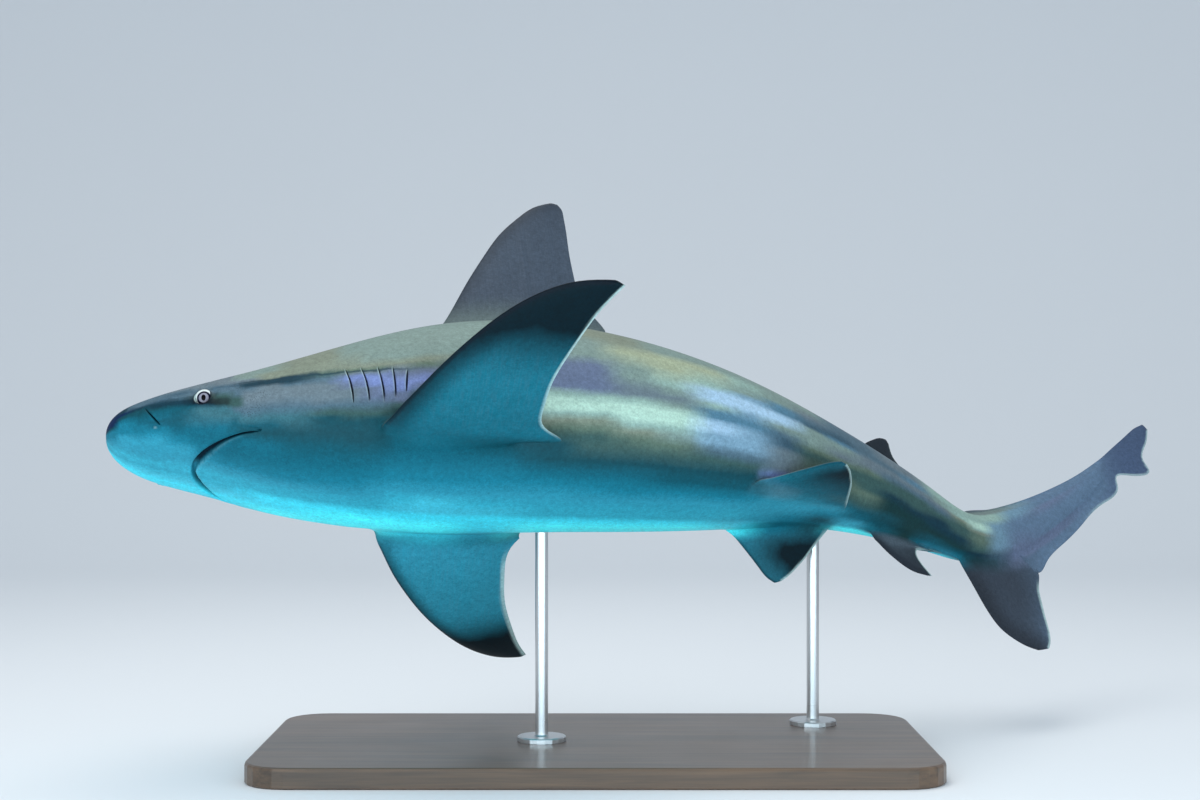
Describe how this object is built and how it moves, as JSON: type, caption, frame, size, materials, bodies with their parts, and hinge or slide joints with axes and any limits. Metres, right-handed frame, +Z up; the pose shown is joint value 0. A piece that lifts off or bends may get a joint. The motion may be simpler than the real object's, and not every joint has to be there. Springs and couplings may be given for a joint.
{
  "type": "sandbar shark",
  "caption": "Life-size sandbar shark with a tall first dorsal fin, swimming and banked to one side, held over a flat wooden base by two steel rods.",
  "frame": {"origin": "middle of the underside of the stand's base, on the floor", "axes": "+X from the nose towards the tail, +Y away from the animal's left side, +Z up"},
  "size_m": [1.5905, 1.0101, 0.798],
  "materials": {
    "skin": "fine shark skin, bronze-grey back fading to a pale belly, satin",
    "pale_skin": "fine shark skin, pale underside, satin",
    "fin_skin": "fine shark skin on fins, dusky tips and thin pale rear edges, satin",
    "eye": "glossy eye, pale iris and dark upright pupil",
    "base_wood": "dark stained board, satin varnish",
    "rod_steel": "brushed round rod on a turned foot"
  },
  "bodies": {
    "root": {"head": "skin", "lower_jaw": "pale_skin", "trunk": "skin", "tail_stalk": "skin", "first_dorsal_fin": "fin_skin", "second_dorsal_fin": "fin_skin", "anal_fin": "fin_skin", "pectoral_fin_left": "fin_skin", "pectoral_fin_right": "fin_skin", "pelvic_fin_left": "fin_skin", "pelvic_fin_right": "fin_skin", "caudal_fin_upper_lobe": "fin_skin", "caudal_fin_lower_lobe": "fin_skin", "eye_left": "eye", "eye_right": "eye", "stand_base": "base_wood", "stand_rod_front": "rod_steel", "stand_rod_rear": "rod_steel"}
  },
  "joints": []
}
